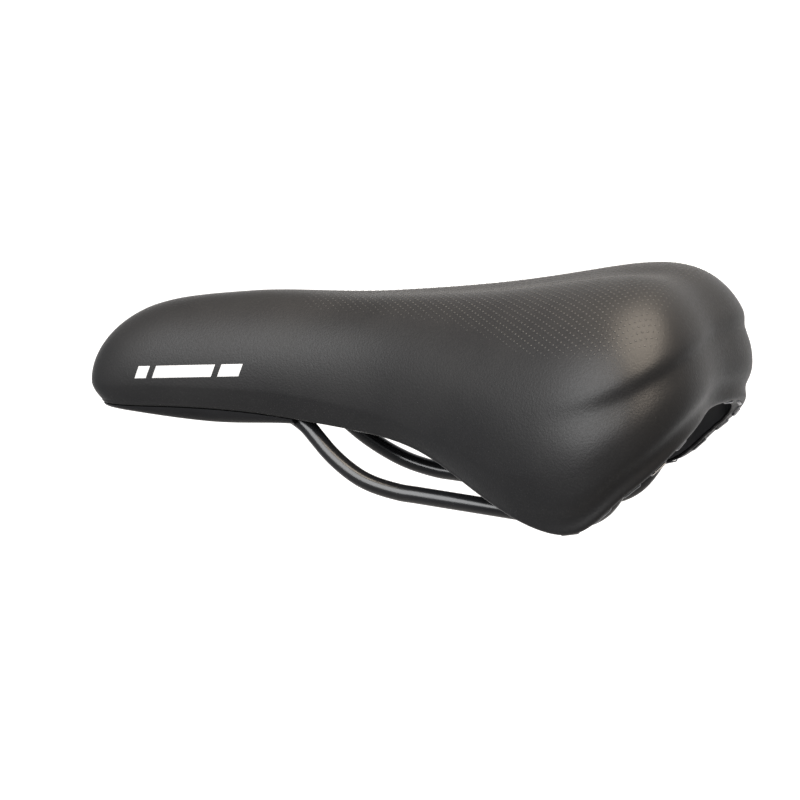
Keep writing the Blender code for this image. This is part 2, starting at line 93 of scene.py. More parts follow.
Station = namedtuple("Station", "x y spine top wide edge tuck hem crown")
STATIONS = (
    Station(0.0, -176.2, -131.5, 85.0, 52.5, 44.1, 4.0, 5.0, 2.0),
    Station(10.0, -174.3, -129.6, 85.2, 52.5, 43.9, 3.5, 5.0, 2.0),
    Station(17.0, -165.4, -126.4, 85.8, 52.5, 43.6, 3.0, 5.0, 2.0),
    Station(20.5, -149.6, -120.4, 86.5, 52.5, 43.1, 2.5, 5.0, 2.1),
    Station(22.0, -127.0, -110.0, 87.0, 51.5, 42.1, 2.0, 5.0, 2.2),
    Station(24.0, -95.0, -91.0, 87.5, 49.5, 39.2, 2.0, 4.6, 2.3),
    Station(27.0, -68.0, -67.0, 87.5, 46.0, 35.3, 2.0, 4.4, 2.4),
    Station(33.0, -40.0, -41.0, 87.0, 41.0, 31.0, 2.5, 7.0, 2.5),
    Station(43.0, -14.0, -15.0, 86.5, 34.0, 24.2, 3.0, 9.0, 2.6),
    Station(56.0, 11.0, 9.0, 86.5, 26.0, 11.8, 3.0, 10.0, 2.7),
    Station(68.0, 36.0, 29.0, 87.5, 21.0, 0.8, 3.0, 10.0, 2.8),
    Station(75.0, 58.0, 41.0, 88.5, 24.0, -1.0, 3.0, 10.0, 2.9),
    Station(74.5, 75.0, 49.0, 89.2, 33.0, 9.6, 3.0, 10.0, 3.0),
    Station(68.0, 88.0, 55.0, 89.5, 42.0, 18.5, 3.0, 10.0, 3.0),
    Station(52.0, 97.0, 59.0, 89.5, 50.0, 26.5, 3.0, 10.0, 3.0),
    Station(28.0, 99.5, 61.5, 89.0, 54.0, 31.0, 3.0, 10.0, 3.0),
    Station(0.0, 98.0, 63.0, 88.5, 55.5, 32.5, 3.0, 10.0, 3.0),
)
TAIL = len(STATIONS) - 1

TRAY_BELLY = (
    (-180.0, 42.4),
    (-170.0, 42.2),
    (-155.0, 40.8),
    (-140.0, 38.6),
    (-124.0, 36.2),
    (-108.0, 34.6),
    (-94.0, 34.6),
    (-80.0, 34.8),
    (-68.0, 33.4),
)

RAIL_FRONT = (
    (9.0, -127.0, 45.6),
    (9.6, -118.0, 45.2),
    (10.6, -108.0, 44.3),
    (11.8, -98.0, 43.0),
    (13.2, -88.0, 40.4),
    (14.7, -80.0, 36.8),
    (15.8, -74.0, 32.7),
    (17.1, -69.0, 27.4),
    (18.8, -63.5, 21.7),
    (20.4, -57.0, 16.3),
    (21.6, -50.0, 11.7),
    (22.0, -43.0, 8.5),
)
RAIL_REAR = (
    (22.0, 39.5, -6.2),
    (22.5, 46.5, -5.2),
    (23.6, 53.5, -1.4),
    (25.2, 60.0, 6.0),
    (27.2, 66.5, 17.0),
    (29.2, 72.5, 28.5),
    (31.2, 78.5, 40.0),
    (32.6, 82.7, 48.0),
)

# ---- looks: sizes of the detail, in millimetres ------------------------------
FINE_STEPS = 12          # columns per station on the cover
CROWN_ROWS = 44
SIDE_ROWS = 24
SHELL_STEPS = 4          # columns per station on shell and foam

# The waist crease round the tail and the hollow band over the rolled lip: (station, value) points.
# Both are drawn in sharply on one side and come back slowly on the other.
CREASE_DEPTH = ((9.8, 0.0), (10.4, 0.3), (11.3, 1.1), (12.2, 1.9), (13.0, 2.0), (14.5, 1.7), (16.0, 1.5))
CREASE_HEIGHT = (
    (10.0, 39.0),
    (10.4, 40.4),
    (11.1, 43.4),
    (11.8, 46.8),
    (12.4, 49.8),
    (13.2, 54.0),
    (14.2, 58.0),
    (16.0, 60.5),
)
CREASE_ABOVE = ((10.0, 7.0), (11.3, 4.5), (12.4, 3.4), (16.0, 4.5))
CREASE_BELOW = 9.0
BAND_DEPTH = ((9.8, 0.0), (10.6, 1.3), (11.2, 2.5), (12.0, 3.0), (13.5, 2.4), (16.0, 1.6))
BAND_RISE = ((10.0, 4.5), (10.8, 5.2), (11.3, 5.6), (16.0, 5.6))
BAND_ABOVE = 5.0
BAND_BELOW = 6.0

# Lower limit of the studded seat, in side view: (y, z) points.
SEAT_LINE = (
    (-90.0, 82.0),
    (-40.0, 79.0),
    (0.0, 75.0),
    (16.0, 71.5),
    (29.0, 67.2),
    (40.0, 65.2),
    (52.0, 64.6),
    (75.0, 64.5),
    (100.0, 67.0),
)
DOT_PITCH = 3.3
DOT_ROW = 1.65
DOT_RADIUS = 0.52
DOT_HEIGHT = 0.16
DOT_STEPS = range(-50, 59)     # half pitches from the origin, nose end to tail end
DOT_EDGE_FADE = (-2.0, 5.0)    # height over SEAT_LINE between no stud and a full one
DOT_NOSE_FADE = (-80.0, -52.0)
DOT_TAIL_FADE = (0.5, 0.75)    # how far the surface faces backwards
SMALLEST_DOT = 0.12

PRINT_BARS = ((-148.0, -142.5), (-139.5, -111.5), (-108.5, -98.5))
PRINT_LOW = 55.3
PRINT_HIGH = 60.3
PRINT_SLANT = 2.4
PRINT_LIFT = 0.06

NOSE_FOLD = 1.6
TAIL_FOLD = 2.6
FOLD_CHANGE = (9.5, 12.5)
SHELL_GAP = 0.7
BAND_ROOM = 2.6          # the shell's rim stands back by this much more behind the band
BAND_ROOM_CHANGE = (9.5, 12.0)
PLEAT_HEIGHT = 0.4
PLEAT_WAVES = 5.0

# Fairing of the crown at the spine's ends, in distances from the end: the ring that the smooth
# surface is fitted to, and where it takes over.
NOSE_FAIRING = ((8.0, 20.0), (6.0, 15.0))
TAIL_FAIRING = ((9.0, 21.0), (7.0, 17.0))

CLOTH_COLUMN_STEP = 3
CLOTH_ROW_STEP = 2
CLOTH_FRAMES = 20
CLOTH_PRESSURE = 40.0
HELD_ROWS = (0.62, 0.95)       # share of the way from spine to hem between free and held
HELD_CREASE_FROM = 11.0        # station
HELD_CREASE_WIDTH = 5.0
HELD_CHANNEL = 0.6
HELD_CHANNEL_WIDTH = 6.0
SWELLING_CAP = 2.5

FOAM_GAP = 0.3
FOAM_COLUMN_STEP = 3
TRAY_SETBACK = 0.8
TRAY_TOP_GAP = 0.25
TRAY_CORNER = 4.2
TRAY_MOUTH_START = -103.0
TRAY_MOUTH_LENGTH = 15.0

# ---- studio: degrees and metres ----------------------------------------------
CAMERA_AZIMUTH = 20.8
CAMERA_ELEVATION = 11.4
CAMERA_DISTANCE = 1.097
CAMERA_ROLL = 5.4
CAMERA_LENS = 121.5
FLOOR_DROP = 1.5
FLOOR_SIZE = 60.0
BACKDROP_AWAY = 2.15
BACKDROP_SCALE = (5.0, 3.2, 1.0)
SKY = (0.92, 0.95, 1.0, 1.0)
SKY_STRENGTH = 0.48


# ---- small helpers -----------------------------------------------------------
def graph(points, at):
    """Value between the (place, value) points of a short list."""
    places, values = zip(*points)
    return float(np.interp(at, places, values))


def ease(low, high, at):
    u = min(max((at - low) / (high - low), 0.0), 1.0)
    return u * u * (3.0 - 2.0 * u)


def hill(at, middle, width):
    return math.exp(-((at - middle) / width) ** 2)


def lopsided(at, middle, below, above):
    """A hill with different widths on its two sides."""
    return hill(at, middle, below if at < middle else above)


# ---- stations ----------------------------------------------------------------
def mirrored(index, last, values, odd):
    """Value at an index past either end: x changes sign there, heights repeat, the spine runs on."""
    if 0 <= index <= last:
        return values[index]
    end = 0 if index < 0 else last
    twin = values[2 * end - index]
    if odd:
        return 2.0 * values[end] - twin
    return twin


def spline_controls(values, odd):
    """Control values of the uniform cubic B-spline that passes through the values."""
    count = len(values)
    matrix = np.zeros((count, count))
    for row in range(count):
        matrix[row, row] = 4.0
        for neighbour in (row - 1, row + 1):
            if 0 <= neighbour < count:
                matrix[row, neighbour] += 1.0
            elif odd:
                matrix[row, row] += 2.0
                matrix[row, 2 * row - neighbour] -= 1.0
            else:
                matrix[row, 2 * row - neighbour] += 1.0
    return np.linalg.solve(matrix / 6.0, np.array(values))


def spline_value(controls, place, odd):
    last = len(controls) - 1
    index = min(int(math.floor(place)), last - 1)
    u = place - index
    weights = (
        (1.0 - u) ** 3,
        3.0 * u ** 3 - 6.0 * u ** 2 + 4.0,
        -3.0 * u ** 3 + 3.0 * u ** 2 + 3.0 * u + 1.0,
        u ** 3,
    )
    total = 0.0
    for offset, weight in enumerate(weights):
        total += weight * mirrored(index - 1 + offset, last, controls, odd)
    return total / 6.0


ODD_COLUMNS = ("x", "spine")
COLUMN_CONTROLS = {
    name: spline_controls([getattr(row, name) for row in STATIONS], name in ODD_COLUMNS)
    for name in Station._fields
}


def station(place):
    values = {}
    for name, controls in COLUMN_CONTROLS.items():
        values[name] = spline_value(controls, place, name in ODD_COLUMNS)
    return Station(**values)


def reach(row):
    """Distance from the spine point to the widest outline, in plan."""
    return math.hypot(row.x, row.y - row.spine)


def ring_point(row, across, height):
    """Point at a distance from the spine towards the outline, at a height."""
    share = across / reach(row)
    return Vector((row.x * share, row.spine + (row.y - row.spine) * share, height))


def ring_places(steps_per_station, end=TAIL):
    steps = round(end * steps_per_station)
    return [end * step / steps for step in range(steps + 1)]


# ---- profiles: lists of (distance from the spine, height) --------------------
def channel(row, across):
    """Depth of the shallow relief channel along the middle of the seat."""
    return CHANNEL_DEPTH * ease(-100.0, -40.0, row.spine) * hill(across, 0.0, CHANNEL_HALF_WIDTH)


def crown_profile(row, inset, steps):
    points = []
    half = reach(row) - inset
    rise = row.top - inset - row.wide
    for step in range(steps + 1):
        angle = math.radians(90.0 * step / steps)
        across = half * math.sin(angle) ** (2.0 / row.crown)
        height = row.wide + rise * max(math.cos(angle), 0.0) ** (2.0 / 1.8)
        points.append((across, height - channel(row, across)))
    return points


def side_profile(row, inset, bottom, fold, steps):
    """From just below the widest level down to the given height, tucking in."""
    points = []
    depth = row.wide - row.edge - fold
    for step in range(1, steps + 1):
        drop = (row.wide - bottom) * step / steps
        tuck = row.tuck * min(drop / depth, 1.0) ** 1.7
        points.append((reach(row) - inset - tuck, row.wide - drop))
    return points


def fold_radius(place):
    """The edge is a tight fold at the nose and a fuller roll round the tail."""
    return NOSE_FOLD + (TAIL_FOLD - NOSE_FOLD) * ease(*FOLD_CHANGE, place)


def cover_profile(row, place):
    """Crown, side, rolled edge and turned-under hem."""
    fold = fold_radius(place)
    points = crown_profile(row, 0.0, CROWN_ROWS)
    points += side_profile(row, 0.0, row.edge + fold, fold, SIDE_ROWS)
    turn = reach(row) - row.tuck - fold
    for degrees in range(15, 91, 15):
        angle = math.radians(degrees)
        points.append((turn + fold * math.cos(angle), row.edge + fold * (1.0 - math.sin(angle))))
    end = reach(row) - row.tuck - row.hem
    for share in (0.25, 0.5, 0.75, 1.0):
        points.append((turn + (end - turn) * share, row.edge))
    return points


HEM_START = CROWN_ROWS + SIDE_ROWS + 7


def arch_profile(row, inset, foot, steps=20):
    """The shell's dome, from the spine down to its foot; inset 0 is its upper face."""
    points = []
    base = reach(row) - row.tuck - row.hem + SHELL_WALL - inset
    crown = row.top - FOAM_CROWN - inset
    for step in range(steps + 1):
        angle = math.radians(90.0 * step / steps)
        across = base * math.sin(angle) ** (2.0 / 2.4)
        height = foot + (crown - foot) * max(math.cos(angle), 0.0) ** (2.0 / 1.8)
        points.append((across, height))
    return points


def flange_levels(row):
    """Heights of the flange's lower and upper faces, above the turned-under hem."""
    lower = row.edge + COVER_THICKNESS + 0.1
    return lower, lower + FLANGE_THICKNESS


def shell_profile(row, place):
    """Dome, flange with rounded rim, and the dome's inner face."""
    lower, upper = flange_levels(row)
    gap = SHELL_GAP + BAND_ROOM * ease(*BAND_ROOM_CHANGE, place)
    rim = reach(row) - row.tuck - COVER_THICKNESS - gap
    points = arch_profile(row, 0.0, upper)
    middle = (lower + upper) * 0.5
    radius = (upper - lower) * 0.5
    for degrees in range(90, -91, -30):
        angle = math.radians(degrees)
        points.append((rim - radius + radius * math.cos(angle), middle + radius * math.sin(angle)))
    points += reversed(arch_profile(row, SHELL_WALL, lower))
    return points


def core_profile(row, place):
    """Everything under the middle of the shell's wall: what ribs and sockets are trimmed to."""
    upper = flange_levels(row)[1]
    points = arch_profile(row, SHELL_WALL * 0.5, upper - 1.0)
    points.append((points[-1][0], -40.0))
    points.append((0.0, -40.0))
    return points


def rib_band_profile(row, place):
    """The band under the shell's wall that the ribs fill."""
    upper = flange_levels(row)[1]
    points = arch_profile(row, SHELL_WALL * 0.5, upper - 1.0)
    points += reversed(arch_profile(row, SHELL_WALL + RIB_DEPTH, upper - 1.5))
    return points


# ---- meshes ------------------------------------------------------------------
def grid_points(profiles):
    """Array of columns x rows x 3, in millimetres, from [(station, profile), ...]."""
    return np.array([[ring_point(row, a, z)[:] for a, z in profile] for row, profile in profiles])


def layer_points(profile, steps_per_station, end=TAIL):
    places = ring_places(steps_per_station, end)
    rows = [station(place) for place in places]
    return grid_points([(row, profile(row, place)) for row, place in zip(rows, places)])


def grid_normals(points):
    """Outward normals of a grid whose columns run from nose to tail and rows from the spine outwards."""
    along = np.gradient(points, axis=0)
    down = np.gradient(points, axis=1)
    normals = np.cross(down, along)
    length = np.linalg.norm(normals, axis=2, keepdims=True)
    return normals / np.maximum(length, 1e-9)


def on_the_middle(points):
    """Puts the spine and both end columns back on the plane X = 0."""
    points[0, :, 0] = 0.0
    points[-1, :, 0] = 0.0
    points[:, 0, 0] = 0.0
    return points


def add_object(name, data, material=None):
    thing = bpy.data.objects.new(name, data)
    bpy.context.scene.collection.objects.link(thing)
    if material is not None:
        data.materials.append(material)
    return thing


def finished_mesh(name, shape, sharp=None):
    """Mesh of a bmesh, shaded smooth, with edges over the given angle left sharp."""
    mesh = bpy.data.meshes.new(name)
    shape.to_mesh(mesh)
    shape.free()
    mesh.shade_smooth()
    if sharp is not None:
        mesh.set_sharp_from_angle(angle=math.radians(sharp))
    return mesh


def apply_modifiers(thing):
    """Replace the object's mesh with its evaluated one."""
    bpy.context.view_layer.update()
    evaluated = thing.evaluated_get(bpy.context.evaluated_depsgraph_get())
    mesh = bpy.data.meshes.new_from_object(evaluated)
    thing.modifiers.clear()
    thing.data = mesh
    return thing


def half_sheet(name, points, material=None):
    """The left half of a layer as faces between its columns, mirrored to both halves."""
    columns, rows = points.shape[:2]
    faces = []
    for j in range(columns - 1):
        for k in range(rows - 1):
            first = j * rows + k
            faces.append((first, first + 1, first + rows + 1, first + rows))
    mesh = bpy.data.meshes.new(name)
    mesh.from_pydata((points.reshape(-1, 3) * MM).tolist(), [], faces)
    mesh.shade_smooth()
    sheet = add_object(name, mesh, material)
    modifier = sheet.modifiers.new("other_side", "MIRROR")
    modifier.use_clip = True
    modifier.merge_threshold = 0.00005
    return apply_modifiers(sheet)


def solidify(thing, thickness):
    wall = thing.modifiers.new("wall", "SOLIDIFY")
    wall.thickness = thickness * MM
    wall.offset = -1.0
    return apply_modifiers(thing)


def boolean(thing, tool, operation):
    modifier = thing.modifiers.new(operation.lower(), "BOOLEAN")
    modifier.operation = operation
    modifier.object = tool
    modifier.solver = "EXACT"


def scrap(*things):
    for thing in things:
        bpy.data.objects.remove(thing, do_unlink=True)


def box_bmesh(low, high):
    shape = bmesh.new()
    bmesh.ops.create_cube(shape, size=1.0)
    size = [(h - l) * MM for l, h in zip(low, high)]
    middle = [(h + l) * 0.5 for l, h in zip(low, high)]
    place = Matrix.Translation(Vector(middle) * MM) @ Matrix.Diagonal((*size, 1.0))
    bmesh.ops.transform(shape, matrix=place, verts=shape.verts)
    return shape


def skin_rings(shape, rings):
    """Faces between rings of vertices, and a cap at both ends."""
    sides = len(rings[0])
    for here, ahead in zip(rings, rings[1:]):
        for step in range(sides):
            after = (step + 1) % sides
            shape.faces.new((here[step], here[after], ahead[after], ahead[step]))
    shape.faces.new(reversed(rings[0]))
    shape.faces.new(rings[-1])
    bmesh.ops.recalc_face_normals(shape, faces=shape.faces)


def tube_mesh(name, route, radius_at, sides):
    """Closed round tube along a route, with the radius given by a function of the share along it."""
    shape = bmesh.new()
    rings = []
    up = Vector((0.0, 0.0, 1.0))
    for index, point in enumerate(route):
        ahead = route[min(index + 1, len(route) - 1)]
        behind = route[max(index - 1, 0)]
        along = (ahead - behind).normalized()
        side = along.cross(up).normalized()
        other = side.cross(along).normalized()
        radius = radius_at(index / (len(route) - 1))
        ring = []
        for step in range(sides):
            angle = 2.0 * math.pi * step / sides
            spot = point + (side * math.cos(angle) + other * math.sin(angle)) * radius
            ring.append(shape.verts.new(spot * MM))
        rings.append(ring)
    skin_rings(shape, rings)
    return finished_mesh(name, shape, 40.0)


def declare(piece, slot, *nodes):
    """Every piece rides on the one body and stands for CAD nodes, which are hidden; the slot is not used."""
    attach(piece, "root")
    if nodes:
        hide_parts(*nodes)
    return piece


# ---- materials ---------------------------------------------------------------
class Nodes:
    """Short hand for building a node tree on object coordinates."""

    def __init__(self, name):
        self.material = bpy.data.materials.new(name)
        self.material.use_nodes = True
        self.tree = self.material.node_tree
        self.shader = self.tree.nodes["Principled BSDF"]
        self.where = self.add("TexCoord").outputs["Object"]

    def add(self, kind, **settings):
        node = self.tree.nodes.new("ShaderNode" + kind)
        for key, value in settings.items():
            setattr(node, key, value)
        return node

    def link(self, output, target):
        self.tree.links.new(output, target)

    def fixed(self, **values):
        """Sets constants on the shader's own sockets; an underscore stands for a space."""
        for key, value in values.items():
            self.shader.inputs[key.replace("_", " ")].default_value = value

    def mix(self, operation, first, second):
        node = self.add("Math", operation=operation)
        for target, value in zip(node.inputs, (first, second)):
            if isinstance(value, float):
                target.default_value = value
            else:
                self.link(value, target)
        return node.outputs[0]

    def tint(self, source, *stops):
        """Base colour from a ramp of (position, colour) stops, led by a value."""
        node = self.add("ValToRGB")
        elements = node.color_ramp.elements
        while len(elements) < len(stops):
            elements.new(0.5)
        for element, (position, colour) in zip(elements, stops):
            element.position = position
            element.color = (*colour, 1.0)
        self.link(source, node.inputs[0])
        self.link(node.outputs[0], self.shader.inputs["Base Color"])

    def spread(self, source, low, high, to_low, to_high):
        node = self.add("MapRange")
        self.link(source, node.inputs["Value"])
        for key, value in zip(("From Min", "From Max", "To Min", "To Max"), (low, high, to_low, to_high)):
            node.inputs[key].default_value = value
        return node.outputs[0]

    def polish(self, source, smooth, rough):
        """Roughness between two limits, led by a noise value."""
        self.link(self.spread(source, 0.3, 0.7, smooth, rough), self.shader.inputs["Roughness"])

    def noise(self, scale, detail=3.0, roughness=0.5):
        node = self.add("TexNoise")
        node.inputs["Scale"].default_value = scale
        node.inputs["Detail"].default_value = detail
        node.inputs["Roughness"].default_value = roughness
        self.link(self.where, node.inputs["Vector"])
        return node.outputs["Fac"]

    def cells(self, scale, feature="F1"):
        node = self.add("TexVoronoi", feature=feature)
        node.inputs["Scale"].default_value = scale
        self.link(self.where, node.inputs["Vector"])
        return node.outputs["Distance"]

    def bumps(self, *layers):
        """Stacks (height, strength, distance in metres) layers into the shader's normal."""
        below = None
        for height, strength, distance in layers:
            node = self.add("Bump")
            node.inputs["Strength"].default_value = strength
            node.inputs["Distance"].default_value = distance
            self.link(height, node.inputs["Height"])
            if below is not None:
                self.link(below, node.inputs["Normal"])
            below = node.outputs[0]
        self.link(below, self.shader.inputs["Normal"])


def leather_material():
    """Matte polyurethane leather: pebbled grain, faint pores and slow changes of tone and polish."""
    n = Nodes("cover_leather")
    broad = n.noise(22.0, 4.0)
    fine = n.noise(900.0, 3.0, 0.6)
    pebbles = n.cells(1300.0, "SMOOTH_F1")
    tone = n.mix("ADD", broad, n.spread(pebbles, 0.0, 0.8, -0.12, 0.12))
    n.tint(tone, (0.25, (0.0062, 0.0062, 0.0066)), (0.75, (0.0098, 0.0097, 0.0100)))
    polish = n.mix("ADD", n.spread(broad, 0.3, 0.7, 0.43, 0.50), n.spread(fine, 0.3, 0.7, -0.04, 0.04))
    n.link(polish, n.shader.inputs["Roughness"])
    n.fixed(Specular_IOR_Level=0.20)
    n.bumps((pebbles, 0.36, 0.00014), (fine, 0.22, 0.00010), (n.noise(120.0, 2.0), 0.05, 0.0005))
    return n.material


def dot_material():
    """The studs' tops: the same leather, polished smoother, with a paler colour that is a painted highlight
    for the light they catch.
    """
    n = Nodes("stud_leather_painted_highlight")
    broad = n.noise(60.0, 3.0)
    # painted highlight: the studs are coloured paler than the cover to stand for light caught on their tops
    n.tint(broad, (0.3, (0.013, 0.0129, 0.0128)), (0.7, (0.019, 0.0187, 0.0184)))
    n.polish(broad, 0.36, 0.44)
    n.fixed(Specular_IOR_Level=0.27)
    n.bumps((n.noise(1500.0, 2.0), 0.15, 0.00005))
    return n.material


def plastic_material(name, tone, smooth, rough, shine=0.5):
    """Moulded polypropylene with a fine spark-eroded texture."""
    n = Nodes(name)
    broad = n.noise(35.0, 3.0)
    paler = tuple(c * 1.35 for c in tone)
    n.tint(broad, (0.35, tone), (0.7, paler))
    n.polish(broad, smooth, rough)
    n.fixed(Specular_IOR_Level=shine)
    n.bumps((n.noise(2200.0, 2.0), 0.25, 0.00006), (n.noise(90.0, 2.0), 0.06, 0.0006))
    return n.material


def paint_material():
    """Satin black paint on steel wire, with a little orange peel."""
    n = Nodes("rail_paint")
    broad = n.noise(40.0, 3.0)
    n.tint(broad, (0.3, (0.0045, 0.0045, 0.005)), (0.7, (0.008, 0.008, 0.0085)))
    n.polish(broad, 0.22, 0.30)
    n.fixed(Specular_IOR_Level=0.30, Coat_Weight=0.15, Coat_Roughness=0.12)
    n.bumps((n.noise(420.0, 2.0), 0.10, 0.0002))
    return n.material


def zinc_material():
    """Zinc plated wire and screws, slightly dulled."""
    n = Nodes("zinc_plate")
    broad = n.noise(260.0, 4.0)
    n.tint(broad, (0.3, (0.22, 0.225, 0.235)), (0.7, (0.36, 0.36, 0.37)))
    n.polish(broad, 0.32, 0.46)
    n.fixed(Metallic=1.0)
    n.bumps((n.noise(1500.0, 2.0), 0.2, 0.00005))
    return n.material


def foam_material():
    """Open-cell polyurethane foam."""
    n = Nodes("foam")
    pores = n.cells(900.0)
    n.tint(pores, (0.1, (0.10, 0.095, 0.09)), (0.5, (0.17, 0.16, 0.15)))
    n.fixed(Roughness=0.95)
    n.bumps((pores, 0.6, 0.0004))
    return n.material


def print_material():
    """White screen print on the leather."""
    n = Nodes("white_print")
    broad = n.noise(300.0, 3.0)
    n.tint(broad, (0.3, (0.34, 0.34, 0.344)), (0.7, (0.40, 0.40, 0.404)))
    n.fixed(Roughness=0.5)
    n.bumps((n.cells(1300.0, "SMOOTH_F1"), 0.2, 0.0001))
    return n.material


# ---- the cover ---------------------------------------------------------------
def relief(place, row, point):
    """How far the cover is drawn in at a point, at the waist crease and at the band over the lip."""
    crease_shape = lopsided(point[2], graph(CREASE_HEIGHT, place), CREASE_BELOW, graph(CREASE_ABOVE, place))
    band_shape = lopsided(point[2], row.edge + graph(BAND_RISE, place), BAND_BELOW, BAND_ABOVE)
    return -graph(CREASE_DEPTH, place) * crease_shape - graph(BAND_DEPTH, place) * band_shape


def pleats(place, share):
    """Height of the small gathers in the turned-under hem, where it runs round nose and tail corners."""
    tight = hill(place, 1.5, 1.3) + hill(place, 12.3, 1.8)
    return PLEAT_HEIGHT * tight * share ** 2 * math.sin(2.0 * math.pi * PLEAT_WAVES * place) ** 2


def cloth_swelling(points):
    """Swelling of the cover over its foam, from a cloth simulation on a coarser grid.

    The hem, the folded edge, the crease and the relief channel are held, and the air-like pressure of
    the foam lifts what lies between. A stretched cover has no loose folds, so the small ripples of the
    coarse sheet are evened out. Returns an offset for every point of the full grid.
    """
    columns = range(0, points.shape[0], CLOTH_COLUMN_STEP)
    rows = range(0, HEM_START, CLOTH_ROW_STEP)
    coarse = points[np.ix_(columns, rows)]
    sheet = half_sheet("cover_cloth", coarse)
    rest = np.array([v.co[:] for v in sheet.data.vertices])
    finder = KDTree(len(rest))
    for index, co in enumerate(rest):
        finder.insert(co, index)
    finder.balance()
    match = np.array([[finder.find(point * MM)[1] for point in column] for column in coarse])
    held = sheet.vertex_groups.new(name="held")
    for j, column in enumerate(match):
        place = columns[j] / FINE_STEPS
        for k, index in enumerate(column):
            x, y, z = coarse[j, k]
            edge = ease(*HELD_ROWS, k / (len(rows) - 1))
            crease = hill(z, graph(CREASE_HEIGHT, place), HELD_CREASE_WIDTH) * (place > HELD_CREASE_FROM)
            grip = max(edge, crease, HELD_CHANNEL * hill(abs(x), 0.0, HELD_CHANNEL_WIDTH))
            mirror_index = finder.find((-x * MM, y * MM, z * MM))[1]
            held.add([int(index), int(mirror_index)], float(grip), "REPLACE")
    cloth = sheet.modifiers.new("cloth", "CLOTH")
    cloth.settings.quality = 6
    cloth.settings.mass = 0.02
    cloth.settings.tension_stiffness = 6.0
    cloth.settings.compression_stiffness = 6.0
    cloth.settings.bending_stiffness = 1.0
    cloth.settings.use_pressure = True
    cloth.settings.uniform_pressure_force = CLOTH_PRESSURE
    cloth.settings.vertex_group_mass = "held"
    cloth.settings.effector_weights.gravity = 0.0
    scene = bpy.context.scene
    for number in range(1, CLOTH_FRAMES + 1):
        scene.frame_set(number)
    apply_modifiers(sheet)
    moved = np.array([v.co[:] for v in sheet.data.vertices]) - rest
    scrap(sheet)
    scene.frame_set(1)
    lift = np.sum(moved[match] / MM * grid_normals(coarse), axis=2)
    lift = np.clip(evened(lift, 30), -SWELLING_CAP, SWELLING_CAP)
    return spread_over(lift, columns, rows, points.shape[:2])[:, :, None] * grid_normals(points)


def evened(field, passes):
    """A grid of values with its small ripples averaged away."""
    for _ in range(passes):
        wide = np.pad(field, 1, mode="edge")
        field = 0.5 * field + 0.125 * (wide[:-2, 1:-1] + wide[2:, 1:-1] + wide[1:-1, :-2] + wide[1:-1, 2:])
    return field


def spread_over(lift, columns, rows, shape):
    """Carries values from every few columns and rows to the whole grid."""
    partial = np.array([np.interp(range(shape[1]), rows, line, right=0.0) for line in lift])
    full = np.array([np.interp(range(shape[0]), columns, line) for line in partial.T]).T
    return evened(full, 6)


def surface_terms(x, y):
    """Terms of a low, symmetrical surface over the plan, with x and y of about one."""
    return np.stack((x ** 0, y, y ** 2, y ** 3, x ** 2, x ** 2 * y, x ** 2 * y ** 2, x ** 4, y ** 4), axis=-1)


def fair_spine_end(points, column, samples, blend):
    """Takes out the pinch where the crown's profiles meet, with a surface fitted to the ring round it."""
    pole = points[column, 0].copy()
    crown = points[:, :CROWN_ROWS + 1]
    x = crown[:, :, 0] / samples[1]
    y = (crown[:, :, 1] - pole[1]) / samples[1]
    away = np.hypot(x, y) * samples[1]
    near = (away > samples[0]) & (away < samples[1])
    fit = np.linalg.lstsq(surface_terms(x[near], y[near]), crown[:, :, 2][near], rcond=None)[0]
    share = np.clip((blend[1] - away) / (blend[1] - blend[0]), 0.0, 1.0)
    share = share * share * (3.0 - 2.0 * share)
    smooth = surface_terms(x, y) @ fit
    crown[:, :, 2] += (smooth - crown[:, :, 2]) * share


def cover_points():
    """Grid of the cover's outer face: base shape, swelling over the foam, crease, band and pleats."""
    places = ring_places(FINE_STEPS)
    points = layer_points(cover_profile, FINE_STEPS)
    fair_spine_end(points, 0, *NOSE_FAIRING)
    fair_spine_end(points, -1, *TAIL_FAIRING)
    points = points + cloth_swelling(points)
    normals = grid_normals(points)
    depth = np.zeros(points.shape[:2])
    lift = np.zeros(points.shape[:2])
    side_end = CROWN_ROWS + SIDE_ROWS
    for j, place in enumerate(places):
        row = station(place)
        level = normals[j, side_end] * (1.0, 1.0, 0.0)
        for k in range(points.shape[1]):
            turned_under = max(k - HEM_START + 1, 0) / 4.0
            if k <= side_end:
                depth[j, k] = relief(place, row, points[j, k])
            else:
                depth[j, k] = depth[j, side_end] * (1.0 - turned_under)
                normals[j, k] = level
            lift[j, k] = pleats(place, turned_under)
    points = points + normals * depth[:, :, None]
    points[:, :, 2] -= lift
    return on_the_middle(points)


def make_cover(material):
    points = cover_points()
    cover = half_sheet("saddle_cover", points, material)
    bare = surface_tree(cover)
    solidify(cover, COVER_THICKNESS)
    declare(cover, "cover_leather", "cover")
    return points, bare


def surface_tree(thing):
    """Ray-castable copy of a mesh object's surface."""
    mesh = thing.data
    return BVHTree.FromPolygons([v.co[:] for v in mesh.vertices], [p.vertices[:] for p in mesh.polygons])


def add_dome(shape, spot, normal, radius, height, sides=6):
    """One low stud, sunk slightly into the surface."""
    side = normal.orthogonal().normalized()
    other = normal.cross(side)
    rings = []
    for wide, tall in ((1.0, -0.2), (0.72, 0.70)):
        ring = []
        for step in range(sides):
            angle = 2.0 * math.pi * step / sides
            reach_out = (side * math.cos(angle) + other * math.sin(angle)) * radius * wide
            ring.append(shape.verts.new(spot + reach_out + normal * height * tall))
        rings.append(ring)
    low, high = rings
    tip = shape.verts.new(spot + normal * height)
    for step in range(sides):
        after = (step + 1) % sides
        shape.faces.new((low[step], low[after], high[after], high[step]))
        shape.faces.new((high[step], high[after], tip))
    shape.faces.new(reversed(low))


